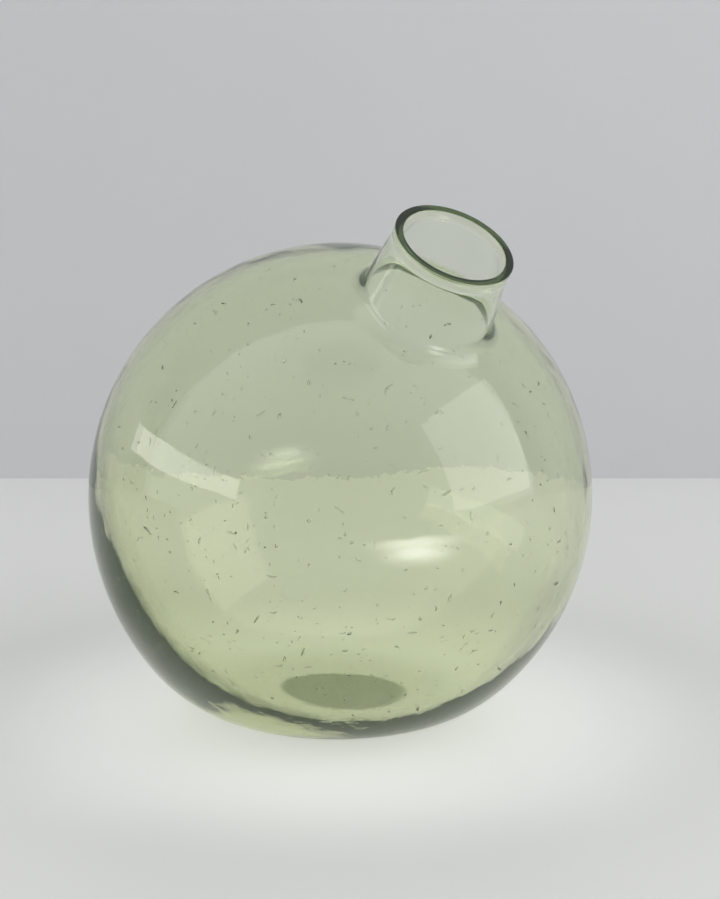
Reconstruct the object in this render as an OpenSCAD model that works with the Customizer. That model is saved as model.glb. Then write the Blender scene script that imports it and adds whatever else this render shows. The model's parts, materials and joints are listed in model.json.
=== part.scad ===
// Hand-blown glass bud vase: a globe that stands on a pressed flat foot, with a short leaning neck.
// Millimetres, +Z up. The origin is on the standing face, straight under the centre of the globe, and
// the neck leans towards +X. Every piece is a turned shape about the leaning axis of the neck.

/* [Globe] */
// Outside diameter of the blown globe
globe_d = 140; // [124:1:160]
// How far the globe is pressed in to make the standing face
foot_press = 6.6; // [5:0.1:9]
// How far the heel swells past the globe, opposite the neck
heel_swell = 6.7; // [4:0.1:9]
// Half-width of that swelling, in degrees about the globe's centre
heel_spread = 36; // [28:1:40]

/* [Wall] */
// Thickness of the wall around the neck and the upper globe
wall_top = 1.7; // [1.4:0.1:2.4]
// Thickness the wall grows to at the heel
wall_heel = 3.9; // [3:0.1:5.5]
// Angle from the neck at which the wall is halfway between the two
wall_mid = 108; // [95:1:120]
// How slowly the wall thickens, in degrees
wall_soft = 8.5; // [5:0.5:12]
// Thickness of the flat floor
floor_t = 4; // [3.4:0.1:6]
// Height at which the foot meets the globe
foot_h = 14; // [13:0.5:18]
// Radius of the flat face that the vase stands on
foot_r = 20; // [14:1:24]

/* [Neck] */
// Lean of the neck from upright, in degrees
neck_lean = 33.3; // [24:0.1:40]
// Distance from the globe's skin to the face of the lip, along the neck
neck_reach = 19.7; // [17:0.1:26]
// Taper of the neck, in degrees
neck_taper = 7; // [4:0.1:9]
// Thickness of the neck's wall
neck_wall = 1.1; // [0.9:0.1:1.6]
// Radius of the flare where the neck leaves the globe, outside
flare_out = 5.5; // [3.5:0.1:6]
// Radius of the same flare on the inside
flare_in = 6.7; // [5:0.1:7.5]

/* [Lip] */
// Inside diameter of the mouth
bore_d = 28; // [24:0.1:31]
// Width of the polished face of the lip
lip_wall = 2.3; // [1.8:0.1:3]
// Height of the thickened lip
lip_h = 4; // [3.5:0.1:5]
// How far the lip stands out past the neck
lip_bead = 0.2; // [0.1:0.1:0.6]
// Radius of the polished edges of the lip
lip_round = 0.5; // [0.3:0.05:0.7]

/* [Hidden] */
$fn = 72;
glass = [0.62, 0.72, 0.52, 0.45];
globe_r = globe_d / 2;
centre_z = globe_r - foot_press;
bore_r = bore_d / 2;
lip_s = globe_r + neck_reach;
lip_r = bore_r + lip_wall;
root_a = 28;
a_step = (180 - root_a) / 32;
neck_s0 = globe_r + 4.5;
neck_s1 = lip_s - lip_h;
hollow_r = globe_r - wall_top;

// Radius of the outer skin and of the hollow at an angle a from the neck, from the globe's centre.
function skin(a) = globe_r + heel_swell * exp(-pow((180 - a) / heel_spread, 2));
function hollow(a) = skin(a) - wall_top - (wall_heel - wall_top) / (1 + exp((wall_mid - a) / wall_soft));
function at(r, a) = [r * sin(a), r * cos(a)];

// The neck is a cone, and this is its outside radius at a distance s from the globe's centre.
function neck_r(s) = lip_r - lip_bead + (neck_s1 - s) * tan(neck_taper);
// Centre of a flare of radius f that touches a ball and the cone that passes through radius r at the lip.
function flare_at(r, ball, f) =
    let (d = r * cos(neck_taper) + neck_s1 * sin(neck_taper) + f, q = sqrt(pow(ball + f, 2) - d * d))
    [d * cos(neck_taper) - q * sin(neck_taper), d * sin(neck_taper) + q * cos(neck_taper)];
out_c = flare_at(neck_r(neck_s1), globe_r, flare_out);
in_c = flare_at(neck_r(neck_s1) - neck_wall, hollow_r, flare_in);
out_a = atan2(out_c[0], out_c[1]);
in_a = atan2(in_c[0], in_c[1]);
// Points of a flare, from the cone down to the ball.
function flare(c, f, last_a) = [for (i = [0:8]) let (a = neck_taper + i * (90 - last_a - neck_taper) / 8)
    [c[0] - f * cos(a), c[1] - f * sin(a)]];
function reversed(p) = [for (i = [len(p) - 1:-1:0]) p[i]];

// The rounded underside: height above the table at a distance r from the upright axis through the centre.
function belly(r) = r <= foot_r ? 0 : 4.7 * pow((r - foot_r) / 25, 2);

module leaning() {
    translate([0, 0, centre_z]) rotate([0, neck_lean, 0]) children();
}

// The blown wall from the shoulder all the way round to the heel, before the foot is pressed.
module wall_shell() {
    leaning() rotate_extrude()
        polygon(concat(
            [for (i = [0:32]) at(skin(root_a + i * a_step), root_a + i * a_step)],
            [for (i = [32:-1:0]) at(hollow(root_a + i * a_step), root_a + i * a_step)]));
}

module globe() {
    color(glass) difference() {
        wall_shell();
        translate([-globe_d, -globe_d, -globe_d]) cube([2 * globe_d, 2 * globe_d, globe_d + foot_h]);
    }
}

// What the globe keeps of its roundness where it was set down: a flat face with a soft, turned-up edge.
module rounded_under() {
    rotate_extrude()
        polygon(concat([[0, 0]],
            [for (i = [0:11]) let (r = foot_r + i * 4.8) [r, belly(r)]],
            [[foot_r + 52.8, 2 * foot_h], [0, 2 * foot_h]]));
}

// The heavy foot: solid glass between the standing face and the floor, with the lower wall around it.
module heel() {
    color(glass) difference() {
        intersection() {
            leaning() rotate_extrude()
                polygon(concat([[0, 0]],
                    [for (i = [10:32]) at(skin(root_a + i * a_step), root_a + i * a_step)]));
            rounded_under();
            translate([-globe_d, -globe_d, 0]) cube([2 * globe_d, 2 * globe_d, foot_h]);
        }
        intersection() {
            leaning() rotate_extrude()
                polygon(concat([[0, 0]],
                    [for (i = [10:32]) at(hollow(root_a + i * a_step), root_a + i * a_step)]));
            translate([-globe_d, -globe_d, floor_t]) cube([2 * globe_d, 2 * globe_d, globe_d]);
        }
    }
}

// The flared root of the neck, down to where it runs out into the globe.
module shoulder() {
    color(glass) leaning() rotate_extrude()
        polygon(concat(
            [[neck_r(neck_s0), neck_s0]],
            flare(out_c, flare_out, out_a),
            [for (i = [1:3]) let (a = out_a + i * (root_a - out_a) / 3) at(skin(a), a)],
            [for (i = [3:-1:1]) let (a = in_a + i * (root_a - in_a) / 3) at(hollow(a), a)],
            reversed(flare(in_c, flare_in, in_a)),
            [[neck_r(neck_s0) - neck_wall, neck_s0]]));
}

module neck() {
    color(glass) leaning() rotate_extrude()
        polygon([[neck_r(neck_s0), neck_s0], [neck_r(neck_s1), neck_s1],
            [neck_r(neck_s1) - neck_wall, neck_s1], [neck_r(neck_s0) - neck_wall, neck_s0]]);
}

// The mouth is cut square and fire polished, and its thin wall thickens inwards to a heavier rounded rim.
module lip() {
    in_r = neck_r(neck_s1) - neck_wall;
    color(glass) leaning() rotate_extrude()
        polygon(concat(
            [[in_r, neck_s1], [neck_r(neck_s1), neck_s1], [lip_r - lip_bead / 2, neck_s1 + lip_h / 3]],
            [for (i = [0:4]) let (a = i * 90 / 4)
                [lip_r - lip_round + lip_round * cos(a), lip_s - lip_round + lip_round * sin(a)]],
            [for (i = [0:4]) let (a = 90 + i * 90 / 4)
                [bore_r + lip_round + lip_round * cos(a), lip_s - lip_round + lip_round * sin(a)]],
            [for (i = [4:-1:1]) let (t = i / 4)
                [in_r + (bore_r - in_r) * t * t * (3 - 2 * t), neck_s1 + t * (lip_h - lip_round - 1.5)]]));
}

globe();
heel();
shoulder();
neck();
lip();
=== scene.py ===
# %% [markdown]
# # A hand-blown glass bud vase
# The vase is one bubble of pale green glass. It was blown round, pressed flat underneath while it was soft,
# and its short neck was drawn out at a slant, cut square and polished. Small air seeds are caught in the glass.
# Everything is in metres, and the origin is on the table under the centre of the globe.

import json
import math

import bpy
import numpy as np
from mathutils import Matrix, Vector


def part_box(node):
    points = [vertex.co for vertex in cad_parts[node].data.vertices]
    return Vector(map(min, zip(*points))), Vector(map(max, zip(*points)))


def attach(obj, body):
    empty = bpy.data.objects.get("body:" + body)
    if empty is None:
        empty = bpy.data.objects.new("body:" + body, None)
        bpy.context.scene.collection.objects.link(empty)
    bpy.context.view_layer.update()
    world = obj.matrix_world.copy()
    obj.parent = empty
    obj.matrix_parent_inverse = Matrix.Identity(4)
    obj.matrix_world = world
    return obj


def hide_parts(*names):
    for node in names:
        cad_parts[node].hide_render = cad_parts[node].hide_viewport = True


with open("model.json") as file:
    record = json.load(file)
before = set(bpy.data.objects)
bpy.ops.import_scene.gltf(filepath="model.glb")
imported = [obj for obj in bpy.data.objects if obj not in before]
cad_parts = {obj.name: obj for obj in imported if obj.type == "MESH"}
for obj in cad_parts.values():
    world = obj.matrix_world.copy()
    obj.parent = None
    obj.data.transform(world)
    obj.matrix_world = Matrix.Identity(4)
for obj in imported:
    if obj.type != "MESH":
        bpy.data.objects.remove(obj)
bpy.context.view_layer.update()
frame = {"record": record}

# %% [markdown]
# ## Where the camera stands
# The camera is put up first, because the scene needs one from the start. It looks a little down on the vase
# from about arm's length, with a long lens, so the circles of the globe and the mouth hardly spread. The neck
# leans to the right and towards the camera.

# %% The globe's centre and the neck's axis
mouth = next(m for m in frame["record"]["mounts"] if m["name"] == "mouth")
neck_axis = np.array(mouth["axis"], float)
neck_axis /= np.linalg.norm(neck_axis)
mouth_at = np.array(mouth["pos_m"], float)
centre = np.array([0.0, 0.0, mouth_at[2] - mouth_at[0] * neck_axis[2] / neck_axis[0]])
print("globe centre", centre.round(4), "neck leans", round(math.degrees(math.acos(neck_axis[2])), 1), "degrees")

# %% Camera
look_azimuth, look_down = math.radians(52.8), math.radians(12.0)
camera_right = np.array([math.cos(look_azimuth), math.sin(look_azimuth), 0.0])
camera_back = np.array([
    math.sin(look_azimuth) * math.cos(look_down),
    -math.cos(look_azimuth) * math.cos(look_down),
    math.sin(look_down)])
camera_up = np.cross(camera_back, camera_right)

camera_data = bpy.data.cameras.new("camera")
camera_data.lens = 96.1
camera_data.sensor_width = 36.0
camera = bpy.data.objects.new("camera", camera_data)
bpy.context.scene.collection.objects.link(camera)
turn = Matrix(np.column_stack([camera_right, camera_up, camera_back]).tolist()).to_4x4()
stand = centre + 0.670 * camera_back + 0.0054 * camera_right + 0.0121 * camera_up
camera.matrix_world = Matrix.Translation(Vector(stand)) @ turn
bpy.context.scene.camera = camera
print("camera at", stand.round(3))

# %% [markdown]
# ## The outline of the glass
# A blown vessel is a turned shape, so it is drawn once as a profile beside the neck's axis and spun round it.
# The profile starts at the heel, opposite the neck, runs up the outside, over the lip and down the inside
# again. Both ends lie on the axis, so the spun surface is closed and the wall between its two sides is solid
# glass. One closed skin matters: light bends only where it really enters or leaves the glass.

# %% Sizes of the globe, its wall and its neck
globe_r = round(float(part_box("globe")[1][2] - centre[2]), 3)
heel_swell, heel_spread = 0.0050, 38.0
sag, sag_spread = 0.0050, 38.7
wall_top, wall_heel, wall_mid, wall_soft = 0.00174, 0.0039, 108.4, 8.5
bore_r = mouth["dims"]["r_mm"] / 1000
lip_face, lip_round, lip_h, lip_bead = 0.0023, 0.0003, 0.0040, 0.0002
lip_r = bore_r + lip_face
lip_s = globe_r + 0.0197
neck_top = lip_s - lip_h
neck_wall, neck_taper = 0.0011, math.radians(7.0)
flare_out, flare_in = 0.0055, 0.0067
neck_stays, neck_blend = 0.072, 0.01
inner_slump = 0.4
press_depth, press_soft = 0.0018, 0.010
table_gap, table_soft = 0.0004, 0.0006
floor_z, floor_soft = 0.0033, 0.0058
print("globe radius", globe_r, "lip radius", lip_r)


# %% Outer skin and hollow
def skin(a):
    """Distance of the outer skin from the globe's centre at a degrees from the neck: a ball, plus a bell-shaped
    swelling at the heel."""
    return globe_r + heel_swell * np.exp(-(((180.0 - a) / heel_spread) ** 2))


def hollow(a):
    """The same for the inside: the skin less the wall, which grows along an S-curve from neck to heel."""
    return skin(a) - wall_top - (wall_heel - wall_top) / (1.0 + np.exp((wall_mid - a) / wall_soft))


def polar(r, a):
    """Profile points (distance from the axis, height along it) at radius r and a degrees from the neck."""
    return np.column_stack([r * np.sin(np.radians(a)), r * np.cos(np.radians(a))])


def bend(x, y, r, a0, a1, n):
    """n points on a circle of radius r about (x, y), from angle a0 to a1 in radians."""
    t = np.linspace(a0, a1, n)
    return np.column_stack([x + r * np.cos(t), y + r * np.sin(t)])


# %% The flares where the neck meets the globe
def neck_radius(s):
    """Outside radius of the neck's cone at a distance s from the globe's centre."""
    return lip_r - lip_bead + (neck_top - s) * math.tan(neck_taper)


def flare_at(r, ball, f):
    """Centre of a flare circle of radius f that touches a ball and a cone of radius r at the neck's top. It lies
    one flare radius beyond both."""
    cone = r * math.cos(neck_taper) + neck_top * math.sin(neck_taper) + f
    along = math.sqrt((ball + f) ** 2 - cone**2)
    return (cone * math.cos(neck_taper) - along * math.sin(neck_taper),
            cone * math.sin(neck_taper) + along * math.cos(neck_taper))


out_x, out_y = flare_at(neck_radius(neck_top), globe_r, flare_out)
in_x, in_y = flare_at(neck_radius(neck_top) - neck_wall, globe_r - wall_top, flare_in)
out_a, in_a = math.degrees(math.atan2(out_x, out_y)), math.degrees(math.atan2(in_x, in_y))
print("the flares run out at", round(out_a, 1), "and", round(in_a, 1), "degrees from the neck")


def ease(x0, x1, t):
    """From x0 to x1 with a level start and end: 3 t squared less 2 t cubed."""
    return x0 + (x1 - x0) * t * t * (3 - 2 * t)


# %% The whole profile
def vessel_profile(n_wall=150, n_flare=14, n_neck=8, n_edge=7):
    """Profile from the outer heel, over the lip, to the inner heel. Returns the points and, for each, 0 on the
    outside and 1 on the inside."""
    a = np.linspace(180.0, out_a, n_wall)
    outside = polar(skin(a), a)
    flare = bend(out_x, out_y, flare_out, math.radians(270.0 - out_a), math.pi + neck_taper, n_flare)[1:]
    s = np.linspace(flare[-1][1], neck_top, n_neck)[1:]
    neck = np.column_stack([neck_radius(s), s])
    t = np.linspace(0, 1, 9)[1:]
    lip_side = np.column_stack([ease(neck_radius(neck_top), lip_r, t), neck_top + t * (lip_h - lip_round)])
    outer_edge = bend(lip_r - lip_round, lip_s - lip_round, lip_round, 0, math.pi / 2, n_edge)[1:]
    face = np.column_stack([np.linspace(lip_r - lip_round, bore_r + lip_round, 6)[1:], np.full(5, lip_s)])
    inner_edge = bend(bore_r + lip_round, lip_s - lip_round, lip_round, math.pi / 2, math.pi, n_edge)[1:]
    t = np.linspace(1, 0, 11)
    bore = np.column_stack([
        ease(neck_radius(neck_top) - neck_wall, bore_r, t), neck_top + t * (lip_h - lip_round - 0.0015)])
    s = np.linspace(neck_top, in_y - flare_in * math.sin(neck_taper), n_neck)[1:-1]
    inner_neck = np.column_stack([neck_radius(s) - neck_wall, s])
    inner_flare = bend(in_x, in_y, flare_in, math.pi + neck_taper, math.radians(270.0 - in_a), n_flare)
    a = np.linspace(in_a, 180.0, n_wall)[1:]
    inside = polar(hollow(a), a)
    out = np.vstack([outside, flare, neck, lip_side, outer_edge, face])
    inn = np.vstack([inner_edge, bore, inner_neck, inner_flare, inside])
    return np.vstack([out, inn]), np.r_[np.zeros(len(out)), np.ones(len(inn))]


outline, side = vessel_profile()
print("profile", outline.shape, "points")

# %% [markdown]
# ## Spinning and pressing
# The profile is spun in one numpy step: each ring is the profile turned by the next angle. Blown glass is
# never quite even, so the radius also drifts by a tenth of a millimetre in long, slow waves. Then the soft
# globe is set down: whatever would reach below the table is pressed up against it. The soft maximum used for
# that leaves a rounded edge round the foot, as glass does. The floor inside is flattened the same way.

# %% Turned shape
axis_side = np.array([neck_axis[2], 0.0, -neck_axis[0]])
axis_across = np.array([0.0, 1.0, 0.0])


def spun(points, turns):
    """Every profile point at every turn: the centre, plus the height along the axis, plus the radius along the
    turned side, which is cosine of the turn times side plus sine of the turn times across."""
    r, s = points[:, 0][:, None, None], points[:, 1][:, None, None]
    t = turns[None, :, None]
    return centre + s * neck_axis + r * (np.cos(t) * axis_side + np.sin(t) * axis_across)


def drift(p, seed, size):
    """Slow waves in space: the sum of eight sines along fixed random directions, as a distance in metres."""
    rng = np.random.default_rng(seed)
    waves = rng.normal(size=(8, 3)) * 45.0
    phase = rng.uniform(0, 2 * np.pi, 8)
    return size * np.sin(p @ waves.T + phase).sum(-1) / 8**0.5


def soft_max(z, floor, soft):
    """Like max(z, floor) but rounded: the mean of z and floor plus half the root of their gap squared plus soft
    squared."""
    return floor + 0.5 * ((z - floor) + np.sqrt((z - floor) ** 2 + soft**2))


# %% From turned to blown and pressed
def blown(points, inner):
    """Moves turned points to where the soft glass settles. The globe slumps outwards low down by a bell-shaped
    amount, and the inside by two fifths of it. The neck stays where it is: the move fades out towards it. Then
    the table presses the outside flat, softly and once more firmly, and the floor is flattened inside."""
    ray = points - centre
    distance = np.linalg.norm(ray, axis=1, keepdims=True)
    ray = ray / distance
    below = np.degrees(np.arccos(np.clip(-ray[:, 2], -1, 1)))
    fade = np.clip((neck_stays - distance[:, 0] * (ray @ neck_axis)) / neck_blend, 0, 1)
    slump = sag * np.exp(-((below / sag_spread) ** 2)) * np.where(inner, inner_slump, 1.0)
    wander = np.where(inner, drift(points, 7, 0.00009), drift(points, 3, 0.00010))
    moved = points + ray * ((slump + wander) * fade)[:, None]
    outer_z = soft_max(moved[:, 2] + press_depth, 0.0, press_soft) - press_depth
    outer_z = soft_max(outer_z, table_gap, table_soft)
    inner_z = soft_max(moved[:, 2], floor_z, floor_soft)
    moved[:, 2] = np.where(inner, inner_z, outer_z)
    return moved


# %% The vessel's surface
n_turns = 192
turns = np.linspace(0, 2 * np.pi, n_turns, endpoint=False)
rings = spun(outline[1:-1], turns)
poles = spun(outline[[0, -1]], np.zeros(1))[:, 0]
inner = np.r_[0.0, np.repeat(side[1:-1], n_turns), 1.0] > 0.5
grid = blown(np.vstack([poles[:1], rings.reshape(-1, 3), poles[1:]]), inner)
lift = grid[:, 2].min()
grid[:, 2] -= lift
print("vessel spans", grid.min(0).round(4), grid.max(0).round(4))


# %% Faces of the turned surface
def turned_faces(n_rings, n_turns):
    """Squares between neighbouring rings, and a fan of triangles at each pole. Vertex 0 is the first pole, and
    the last vertex is the other."""
    def at(row, col):
        return 1 + row * n_turns + col

    i, j = np.meshgrid(np.arange(n_rings - 1), np.arange(n_turns), indexing="ij")
    k = (j + 1) % n_turns
    quads = np.stack([at(i, j), at(i, k), at(i + 1, k), at(i + 1, j)], -1).reshape(-1, 4)
    j = np.arange(n_turns)
    k = (j + 1) % n_turns
    first = np.stack([np.zeros_like(j), at(0, k), at(0, j)], -1)
    last = np.stack([np.full_like(j, 1 + n_rings * n_turns), at(n_rings - 1, j), at(n_rings - 1, k)], -1)
    return quads, np.vstack([first, last])


quads, fans = turned_faces(len(outline) - 2, n_turns)
print(len(quads), "squares and", len(fans), "triangles")

# %% [markdown]
# ## Air seeds
# Cheap or old-fashioned glass keeps small bubbles, and working the glass draws them out into slivers. A seed
# is a hole in the glass, so its faces must point into the hole, away from the glass, or light would bend the
# wrong way. Each is a ball of a few dozen faces, squashed to fit inside the wall. They are scattered over the
# wall from a fixed start of the random numbers, and lie closer together towards the foot.

# %% One seed
def unit_ball(n_around=6, n_rows=4):
    """A coarse ball of radius 1 as vertices and faces, with its faces turned inwards."""
    lat = np.linspace(-np.pi / 2, np.pi / 2, n_rows + 2)[1:-1]
    lon = np.linspace(0, 2 * np.pi, n_around, endpoint=False)
    p = np.stack([
        np.cos(lat)[:, None] * np.cos(lon), np.cos(lat)[:, None] * np.sin(lon),
        np.repeat(np.sin(lat)[:, None], n_around, 1)], -1).reshape(-1, 3)
    p = np.vstack([[0, 0, -1], p, [0, 0, 1]])
    squares, ends = turned_faces(n_rows, n_around)
    return p, squares[:, ::-1], ends[:, ::-1]


# %% Scattering the seeds
rng = np.random.default_rng(12)
n_seeds = 950
spread = rng.uniform(0, 1, n_seeds)
seed_a = np.degrees(np.arccos(1 - 2 * (0.035 + 0.965 * spread**0.7)))
seed_t = rng.uniform(0, 2 * np.pi, n_seeds)
seed_dir = (np.cos(np.radians(seed_a))[:, None] * neck_axis
            + np.sin(np.radians(seed_a))[:, None] * (np.cos(seed_t)[:, None] * axis_side
                                                     + np.sin(seed_t)[:, None] * axis_across))
outside_at = blown(centre + seed_dir * skin(seed_a)[:, None], np.zeros(n_seeds, bool))
inside_at = blown(centre + seed_dir * hollow(seed_a)[:, None], np.ones(n_seeds, bool))
seed_at = inside_at + (outside_at - inside_at) * rng.uniform(0.25, 0.75, n_seeds)[:, None]
seed_at[:, 2] -= lift
thickness = np.linalg.norm(outside_at - inside_at, axis=1)
print("wall", (1000 * thickness.min()).round(2), "to", (1000 * thickness.max()).round(2), "mm at the seeds")

# %% Size and direction of each seed
meridian = seed_dir * (seed_dir @ neck_axis)[:, None] - neck_axis
meridian /= np.linalg.norm(meridian, axis=1, keepdims=True)
parallel = np.cross(seed_dir, meridian)
swing = rng.normal(0, 0.45, n_seeds) + np.where(rng.uniform(size=n_seeds) < 0.6, 0.0, np.pi / 2)
lengthwise = np.cos(swing)[:, None] * meridian + np.sin(swing)[:, None] * parallel
sideways = np.cross(seed_dir, lengthwise)
width = rng.lognormal(math.log(0.00017), 0.4, n_seeds).clip(0.00008, 0.0004)
length = width * rng.lognormal(math.log(2.4), 0.6, n_seeds).clip(1.0, 8.0)
depth = np.minimum(width * 0.8, thickness * 0.15)
ball, ball_quads, ball_fans = unit_ball()
curl = rng.normal(0, 0.25, n_seeds)[:, None] * length[:, None]
bx, by, bz = ball[:, 2][None], ball[:, 0][None], ball[:, 1][None]
seeds = (seed_at[:, None]
         + (bx * length[:, None])[..., None] * lengthwise[:, None]
         + (by * width[:, None] + curl * (bx**2 - 0.4))[..., None] * sideways[:, None]
         + (bz * depth[:, None])[..., None] * seed_dir[:, None])
print("seeds", n_seeds, "longest", round(float(2000 * length.max()), 2), "mm")


# %% Putting vertices and faces into a mesh
def make_piece(name, vertices, faces_4, faces_3):
    """A mesh object from arrays, with smooth shading."""
    mesh = bpy.data.meshes.new(name)
    loops = np.concatenate([faces_4.ravel(), faces_3.ravel()]).astype(np.int32)
    sizes = np.r_[np.full(len(faces_4), 4), np.full(len(faces_3), 3)].astype(np.int32)
    mesh.vertices.add(len(vertices))
    mesh.vertices.foreach_set("co", vertices.astype(np.float32).ravel())
    mesh.loops.add(len(loops))
    mesh.loops.foreach_set("vertex_index", loops)
    mesh.polygons.add(len(sizes))
    mesh.polygons.foreach_set("loop_start", np.r_[0, np.cumsum(sizes)[:-1]].astype(np.int32))
    mesh.polygons.foreach_set("use_smooth", np.ones(len(sizes), bool))
    mesh.update(calc_edges=True)
    mesh.validate()
    piece = bpy.data.objects.new(name, mesh)
    bpy.context.scene.collection.objects.link(piece)
    return piece


def volume_of(vertices, faces_4, faces_3):
    """Signed volume: the sum of the tetrahedra from the origin to every triangle. It is positive if the faces
    point out."""
    tri = np.vstack([faces_3, faces_4[:, :3], faces_4[:, [0, 2, 3]]])
    a, b, c = (vertices[tri[:, i]] for i in range(3))
    return float(np.einsum("ij,ij->i", a, np.cross(b, c)).sum() / 6)


# %% The vase
def with_right_side_out(vertices, faces_4, faces_3, want):
    """Turns all the faces over if the volume hasn't the sign that is wanted."""
    if volume_of(vertices, faces_4, faces_3) * want < 0:
        return faces_4[:, ::-1], faces_3[:, ::-1]
    return faces_4, faces_3


quads, fans = with_right_side_out(grid, quads, fans, 1)
steps = (np.arange(n_seeds) * len(ball))[:, None, None]
seed_quads = (ball_quads[None] + steps).reshape(-1, 4)
seed_fans = (ball_fans[None] + steps).reshape(-1, 3)
seed_points = seeds.reshape(-1, 3)
seed_quads, seed_fans = with_right_side_out(seed_points, seed_quads, seed_fans, -1)
vase = make_piece(
    "vase", np.vstack([grid, seed_points]),
    np.vstack([quads, seed_quads + len(grid)]), np.vstack([fans, seed_fans + len(grid)]))
print("glass", round(1e6 * volume_of(grid, quads, fans), 1), "cm3, faces", len(vase.data.polygons))

# %% [markdown]
# ## Green glass
# The colour of real glass is in its depth: a thin wall is nearly clear, and the foot, seen through more glass,
# is a deeper green. So the surface itself is left clear, and a volume takes away light along the way, blue most
# of all and green least. Faint waves in the surface make the light swim a little. Light that is caught between
# the two faces of the wall runs round inside it, and a very faint glow stands in for that light, so that the
# thick edge of the globe is green and not black. The flat face of the lip looks straight down the wall of the
# neck, through a long way of glass, so its base colour is painted dark there: painted shade for the light lost.

# %% A small language for shader nodes
class Wire:
    """A socket that can be added, multiplied, or taken from a number in a Python expression."""

    def __init__(self, tree, socket):
        self.tree, self.socket = tree, socket

    def math(self, operation, a, b):
        return node(self.tree, "ShaderNodeMath", {"operation": operation}, {0: a, 1: b}).out()

    def __add__(self, other):
        return self.math("ADD", self, other)

    def __rsub__(self, other):
        return self.math("SUBTRACT", other, self)

    def __mul__(self, other):
        return self.math("MULTIPLY", self, other)


class Node:
    """A shader node, with out() for one of its results."""

    def __init__(self, tree, made):
        self.tree, self.made = tree, made

    def out(self, key=0):
        return Wire(self.tree, self.made.outputs[key])


def node(tree, kind, settings=None, values=None):
    """Adds a node: its settings first, then a value or a wire for each named socket."""
    made = tree.nodes.new(kind)
    for key, value in (settings or {}).items():
        setattr(made, key, value)
    for key, value in (values or {}).items():
        if isinstance(value, Wire):
            tree.links.new(value.socket, made.inputs[key])
        else:
            made.inputs[key].default_value = value
    return Node(tree, made)


def along(tree, place, direction):
    """How far a place lies along a direction: their dot product."""
    return node(tree, "ShaderNodeVectorMath", {"operation": "DOT_PRODUCT"}, {
        0: place, 1: tuple(direction)}).out("Value")


# %% Glass
face_at = float((grid @ neck_axis).max())
face_edge, face_skin = 0.00025, 0.0001
taken_per_metre = np.array([44.0, 39.0, 90.0])


def green_glass():
    """Clear, smooth glass over a volume that absorbs mostly blue. What the volume takes per metre of each colour
    is its density times one less its colour. The base colour is painted dark on the lip's flat face only, as
    painted shade for the light lost down the neck's wall."""
    material = bpy.data.materials.new("green_glass")
    material.use_nodes = True
    tree = material.node_tree
    tree.nodes.clear()
    place = node(tree, "ShaderNodeTexCoord").out("Object")
    swim = node(tree, "ShaderNodeTexNoise", None, {"Vector": place, "Scale": 34.0, "Detail": 2.0}).out("Fac")
    fine = node(tree, "ShaderNodeTexNoise", None, {"Vector": place, "Scale": 160.0, "Detail": 3.0}).out("Fac")
    height = swim + fine * 0.12
    bump = node(tree, "ShaderNodeBump", None, {
        "Height": height, "Strength": 0.12, "Distance": 0.002}).out("Normal")
    haze = fine * 0.02
    on_face = node(tree, "ShaderNodeMapRange", {"interpolation_type": "SMOOTHSTEP"}, {
        "Value": along(tree, place, neck_axis),
        "From Min": face_at - face_edge, "From Max": face_at - face_skin}).out()
    # The lip's flat face gets a near-black base colour: painted shade for the light lost down the long way of
    # glass in the neck.
    lip_face_painted_shade = node(tree, "ShaderNodeMix", {"data_type": "RGBA"}, {
        "Factor": on_face, 6: (0.985, 1.0, 0.975, 1.0), 7: (0.012, 0.026, 0.007, 1.0)})
    surface = node(tree, "ShaderNodeBsdfPrincipled", None, {
        "Base Color": lip_face_painted_shade.out(2), "Roughness": haze, "IOR": 1.5, "Transmission Weight": 1.0,
        "Emission Color": (0.5, 1.0, 0.25, 1.0), "Emission Strength": 0.008, "Normal": bump}).out("BSDF")
    most = taken_per_metre.max()
    inside = node(tree, "ShaderNodeVolumeAbsorption", None, {
        "Color": (*(1 - taken_per_metre / most), 1.0), "Density": float(most)}).out("Volume")
    node(tree, "ShaderNodeOutputMaterial", None, {"Surface": surface, "Volume": inside})
    return material


vase.data.materials.append(green_glass())
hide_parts("globe", "heel", "shoulder", "neck", "lip")
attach(vase, "root")
print("glass on", vase.name)

# %% [markdown]
# ## Table, wall and light
# Glass shows what is round it, so the room is part of its look. The table is a pale slab with a grey wall
# 0.3 m behind the vase. A globe of glass gathers light on the table round its foot, which takes very long to
# trace, so the table itself glows softly there, and stays dark under the foot. Two more glows, on the table in
# front and to the right, are what the globe reflects as a pale blob. One big soft lamp stands to the right and
# draws the broad pale panel on that side, and a long low lamp on the left draws a thin pale bar.

# %% Table and wall
def plain(name, colour, roughness, mottle=0.015):
    """A nearly plain finish: one colour with a very faint mottle."""
    material = bpy.data.materials.new(name)
    material.use_nodes = True
    tree = material.node_tree
    surface = tree.nodes["Principled BSDF"]
    surface.inputs["Roughness"].default_value = roughness
    place = node(tree, "ShaderNodeTexCoord").out("Object")
    cloud = node(tree, "ShaderNodeTexNoise", None, {"Vector": place, "Scale": 9.0, "Detail": 4.0}).out("Fac")
    darker, lighter = [(*[c * k for c in colour], 1) for k in (1 - mottle, 1 + mottle)]
    mixed = node(tree, "ShaderNodeMix", {"data_type": "RGBA"}, {"Factor": cloud, 6: darker, 7: lighter})
    tree.links.new(mixed.out(2).socket, surface.inputs["Base Color"])
    return material


def slab(name, corners, material):
    """A flat four-cornered sheet for the stage."""
    piece = make_piece(name, np.array(corners, float), np.array([[0, 1, 2, 3]]), np.zeros((0, 3), int))
    piece.data.materials.append(material)


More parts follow.
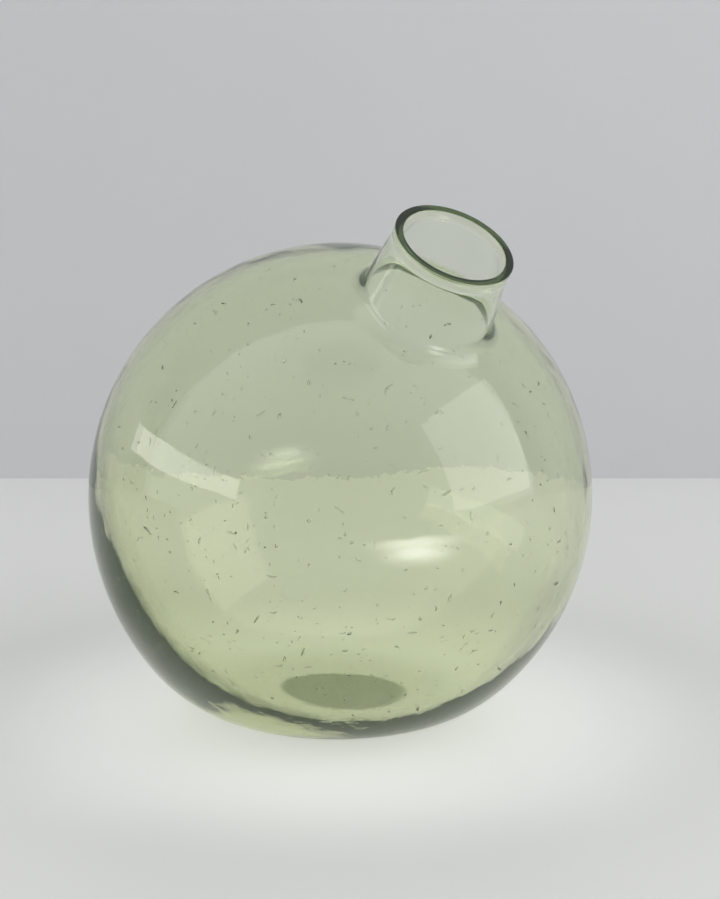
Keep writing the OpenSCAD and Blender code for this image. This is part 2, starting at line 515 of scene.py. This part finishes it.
away = np.array([-camera_back[0], -camera_back[1], 0.0])
away /= np.linalg.norm(away)
up = np.array([0.0, 0.0, 1.0])
right = camera_right
wall_at, half_width, wall_height, table_front = 0.300, 3, 3, 2.0
foot_left, foot_right = -half_width * right + wall_at * away, half_width * right + wall_at * away
slab("table", [
    -half_width * right - table_front * away, half_width * right - table_front * away, foot_right, foot_left],
    plain("pale_stone", (0.80, 0.80, 0.775), 0.45))
slab("wall", [
    foot_left, foot_right, foot_right + wall_height * up, foot_left + wall_height * up],
    plain("grey_wall", (0.62, 0.625, 0.64), 0.9))
print("wall", wall_at, "m behind the vase")


# %% Light that falls on the table
def lit(material, spots):
    """Makes a surface glow softly about some spots of the table. Each spot is its place to the right and away,
    the radius of its dark hole, its reach and its strength. A glow is strongest just outside its hole, and fades
    to nothing at its reach along a smooth step. The glows are added up."""
    tree = material.node_tree
    place = node(tree, "ShaderNodeTexCoord").out("Object")
    total = None
    for x, y, hole, reach, strength in spots:
        off = node(tree, "ShaderNodeVectorMath", {"operation": "DISTANCE"}, {
            0: place, 1: tuple(x * right + y * away)}).out("Value")
        fall = node(tree, "ShaderNodeMapRange", {"interpolation_type": "SMOOTHSTEP"}, {
            "Value": off, "From Min": hole, "From Max": reach, "To Min": strength, "To Max": 0.0}).out()
        rise = node(tree, "ShaderNodeMapRange", {"interpolation_type": "SMOOTHSTEP"}, {
            "Value": off, "From Min": hole * 0.85, "From Max": hole, "To Min": 0.0, "To Max": 1.0}).out()
        total = fall * rise if total is None else total + fall * rise
    surface = tree.nodes["Principled BSDF"]
    surface.inputs["Emission Strength"].default_value = 1.0
    tree.links.new(total.socket, surface.inputs["Emission Color"])
    print(material.name, "glows about", len(spots), "points")


round_the_foot = (0.0, 0.0, 0.020, 0.125, 0.42)
blob_near, blob_far = (0.165, -0.275, 0.001, 0.11, 5.0), (0.25, -0.42, 0.001, 0.21, 5.0)
lit(bpy.data.materials["pale_stone"], [round_the_foot, blob_near, blob_far])


# %% Lamps
def lamp(name, at, aim, width, height, power):
    """A rectangular soft white lamp at a point, facing another."""
    data = bpy.data.lights.new(name, "AREA")
    data.shape = "RECTANGLE"
    data.size, data.size_y = width, height
    data.energy = power
    made = bpy.data.objects.new(name, data)
    bpy.context.scene.collection.objects.link(made)
    made.matrix_world = (Matrix.Translation(Vector(at))
                         @ Vector(np.subtract(aim, at)).to_track_quat("-Z", "Y").to_matrix().to_4x4())


def room(x, y, z):
    """A point given as distances to the camera's right, away from the camera and up, from the vase."""
    return x * right + y * away + z * up


aim = room(0, 0, 0.06)
lamp("window", room(0.85, -0.30, 0.42), aim, 0.80, 0.70, 1.8)
lamp("side", room(-0.75, -0.16, 0.24), aim, 1.0, 0.12, 0.7)

# %% Light of the room: bright all round, and dimmer behind the camera
world = bpy.data.worlds.new("room")
world.use_nodes = True
sky = world.node_tree
sky.nodes.clear()
look = node(sky, "ShaderNodeTexCoord").out("Generated")
dim = node(sky, "ShaderNodeMath", {"operation": "MAXIMUM"}, {0: along(sky, look, -away), 1: 0.0}).out()
glow = node(sky, "ShaderNodeBackground", None, {
    "Color": (1.0, 1.01, 1.03, 1), "Strength": 1.12 - dim * 0.5}).out()
node(sky, "ShaderNodeOutputWorld", None, {"Surface": glow})
bpy.context.scene.world = world
bpy.context.scene.view_settings.view_transform = "Standard"
print("room light set")
